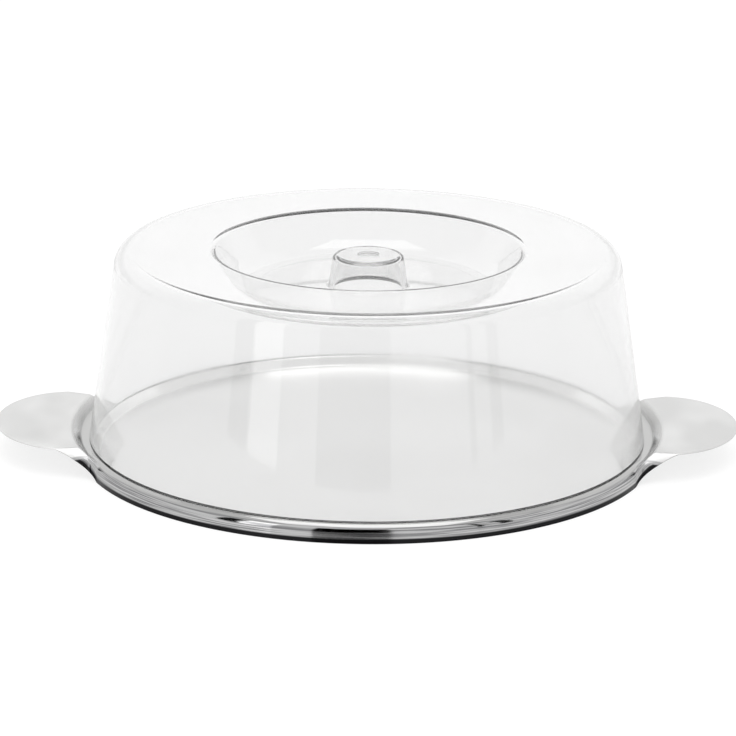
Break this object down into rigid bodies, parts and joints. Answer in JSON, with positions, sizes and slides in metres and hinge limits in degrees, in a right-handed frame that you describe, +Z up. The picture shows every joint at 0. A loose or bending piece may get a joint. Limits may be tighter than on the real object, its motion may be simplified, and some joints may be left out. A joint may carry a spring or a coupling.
{
  "type": "cake tray with cover",
  "caption": "Round pressed steel cake tray with flat side handles, under a tall clear plastic cover that lifts off by a recessed knob.",
  "frame": {"origin": "on the table, under the axis of the round tray", "axes": "+Z up along the tray's axis, +X along the line of the handles"},
  "size_m": [0.388, 0.3, 0.11],
  "materials": {
    "tray_steel": "stainless steel, polished floor and rim, satin handles",
    "cover_plastic": "clear, colourless, high gloss"
  },
  "bodies": {
    "tray": {"tray": "tray_steel"},
    "cover": {"cover": "cover_plastic"}
  },
  "joints": [
    {"name": "cover_lift", "type": "slide", "parent": "tray", "child": "cover", "axis": [0, 0, 1], "range_m": [0, 0.15]}
  ]
}
